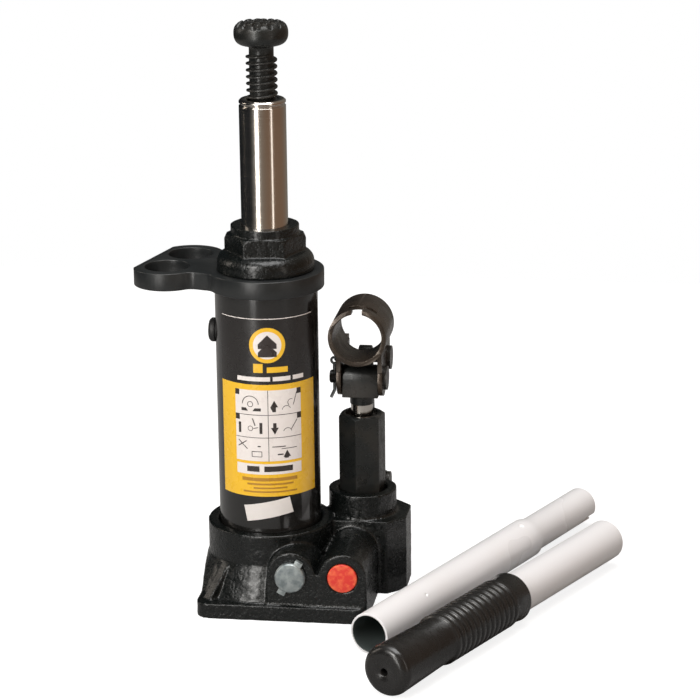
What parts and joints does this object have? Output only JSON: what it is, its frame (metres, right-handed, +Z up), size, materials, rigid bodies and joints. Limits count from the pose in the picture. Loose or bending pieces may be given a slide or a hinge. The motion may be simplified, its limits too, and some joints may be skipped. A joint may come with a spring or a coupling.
{
  "type": "bottle jack",
  "caption": "Hydraulic bottle jack with a threaded extension saddle, side hand pump, release valve and a two-piece pump handle lying beside it.",
  "frame": {"origin": "ram axis at floor level, on the underside of the foot", "axes": "+Z up along the ram, +X towards the pump, -Y towards the valve ports"},
  "size_m": [0.2194, 0.234, 0.2665],
  "materials": {
    "black_casting": "glossy black paint over rough cast iron",
    "gloss_black": "smooth gloss black paint",
    "satin_black": "satin black paint",
    "black_oxide": "oiled black oxide on steel",
    "machined_steel": "plain turned steel",
    "polished_steel": "ground and polished steel",
    "bearing_steel": "polished bearing steel",
    "zinc_plate": "dull grey zinc plate",
    "red_plastic": "moulded red plastic",
    "printed_label": "black and yellow printed film",
    "white_sticker": "white paper sticker",
    "white_paint": "white stoved paint on steel tube",
    "grip_rubber": "black moulded rubber",
    "seal_rubber": "black sealing rubber",
    "copper_gasket": "soft copper washer"
  },
  "bodies": {
    "jack_body": {"base_casting": "black_casting", "cylinder_gasket": "copper_gasket", "pressure_cylinder": "machined_steel", "reservoir_tube": "gloss_black", "reservoir_lower_seal": "seal_rubber", "reservoir_upper_seal": "seal_rubber", "cap_nut": "black_casting", "ram_wiper": "seal_rubber", "handle_bracket": "satin_black", "safety_ball": "bearing_steel", "safety_spring": "machined_steel", "safety_screw": "machined_steel", "safety_cover": "red_plastic", "outlet_ball": "bearing_steel", "outlet_spring": "machined_steel", "inlet_ball": "bearing_steel", "inlet_spring": "machined_steel", "pump_cylinder": "black_oxide", "pump_gasket": "copper_gasket", "pump_packing": "seal_rubber", "packing_ring": "machined_steel", "link_pin": "black_oxide", "link_pin_cotter": "zinc_plate", "main_label": "printed_label", "small_sticker": "white_sticker"},
    "ram": {"ram": "polished_steel", "ram_cup_seal": "seal_rubber", "ram_seal_washer": "machined_steel", "ram_seal_screw": "machined_steel"},
    "screw_stop": {"screw_stop_ring": "machined_steel"},
    "extension_screw": {"extension_screw": "black_oxide"},
    "release_ball": {"release_ball": "bearing_steel"},
    "release_valve": {"release_valve": "zinc_plate", "release_valve_seal": "seal_rubber"},
    "pump_plunger": {"pump_plunger": "polished_steel", "plunger_head": "black_oxide"},
    "handle_socket": {"handle_socket": "black_oxide", "front_socket_pin": "black_oxide", "front_socket_pin_cotter": "zinc_plate", "rear_socket_pin": "black_oxide", "rear_socket_pin_cotter": "zinc_plate"},
    "pump_link": {"pump_link": "black_oxide"},
    "filler_plug": {"filler_plug": "seal_rubber"},
    "lower_handle": {"lower_handle_tube": "white_paint"},
    "upper_handle": {"upper_handle_tube": "white_paint", "handle_grip": "grip_rubber"}
  },
  "joints": [
    {"name": "ram_lift", "type": "slide", "parent": "jack_body", "child": "ram", "axis": [0, 0, 1], "range_m": [-0.054, 0.051]},
    {"name": "saddle_raise", "type": "slide", "parent": "ram", "child": "screw_stop", "axis": [0, 0, 1], "range_m": [-0.0235, 0.0221]},
    {"name": "saddle_spin", "type": "hinge", "parent": "screw_stop", "child": "extension_screw", "pos_m": [0, 0, 0.2], "axis": [0, 0, -1], "range_deg": [-2808, 2640]},
    {"name": "release_lift", "type": "slide", "parent": "jack_body", "child": "release_ball", "axis": [0, -1, 0], "range_m": [0, 0.0019]},
    {"name": "release_turn", "type": "hinge", "parent": "release_ball", "child": "release_valve", "pos_m": [0.015, -0.037, 0.021], "axis": [0, -1, 0], "range_deg": [0, 540]},
    {"name": "pump_stroke", "type": "slide", "parent": "jack_body", "child": "pump_plunger", "axis": [0, 0, 1], "range_m": [-0.0016, 0.01208]},
    {"name": "handle_pump", "type": "hinge", "parent": "pump_plunger", "child": "handle_socket", "pos_m": [0.0405, 0.017, 0.0993], "axis": [-1, 0, 0], "range_deg": [-6, 48]},
    {"name": "link_swing", "type": "hinge", "parent": "jack_body", "child": "pump_link", "pos_m": [0.0405, 0.0385, 0.041], "axis": [-1, 0, 0], "range_deg": [-1, 1]},
    {"name": "filler_plug_pull", "type": "slide", "parent": "jack_body", "child": "filler_plug", "axis": [-1, 0, 0], "range_m": [0, 0.02]},
    {"name": "lower_handle_lift", "type": "slide", "parent": "jack_body", "child": "lower_handle", "axis": [0, 0, 1], "range_m": [0, 0.06]},
    {"name": "upper_handle_lift", "type": "slide", "parent": "jack_body", "child": "upper_handle", "axis": [0, 0, 1], "range_m": [0, 0.06]}
  ],
  "couplings": [
    {"joint": "saddle_raise", "follows": "saddle_spin", "m_per_rad": 0.00047746},
    {"joint": "release_lift", "follows": "release_turn", "m_per_rad": 0.00019894},
    {"joint": "pump_stroke", "follows": "handle_pump", "m_per_rad": 0.0143},
    {"joint": "link_swing", "follows": "handle_pump", "ratio": 0.0105}
  ]
}
